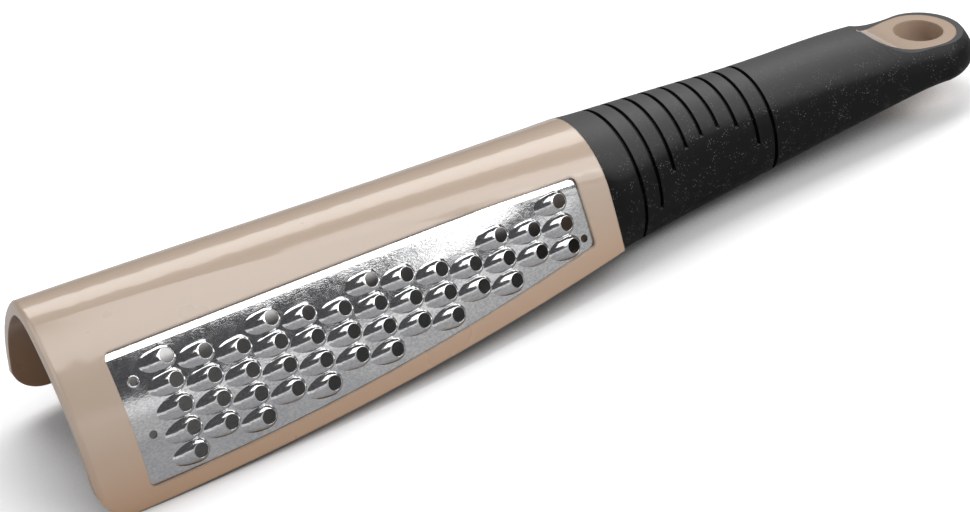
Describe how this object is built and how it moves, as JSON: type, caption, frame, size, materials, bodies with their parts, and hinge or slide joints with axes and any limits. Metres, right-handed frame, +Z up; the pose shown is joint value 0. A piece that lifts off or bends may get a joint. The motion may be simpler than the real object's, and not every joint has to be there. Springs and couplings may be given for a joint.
{
  "type": "rasp zester",
  "caption": "Hand zester with an arched channel head, a coarse rasp plate and a fine zester plate in its flanks, and a soft grip with a hang hole.",
  "frame": {"origin": "below the middle of the whole length, on the plane of the lowest points of the head's front feet", "axes": "+X from the open front of the head towards the hang hole, +Z up from the open underside to the ridge, the coarse plate on the -Y flank and the fine plate on the +Y flank"},
  "size_m": [0.3018, 0.0622, 0.0516],
  "materials": {
    "frame_plastic": "glossy taupe moulding",
    "coarse_steel": "bright brushed sheet",
    "fine_steel": "bright brushed sheet",
    "grip_rubber": "matte soft touch"
  },
  "bodies": {
    "root": {"frame": "frame_plastic", "coarse_plate": "coarse_steel", "fine_plate": "fine_steel", "soft_grip": "grip_rubber"}
  },
  "joints": []
}
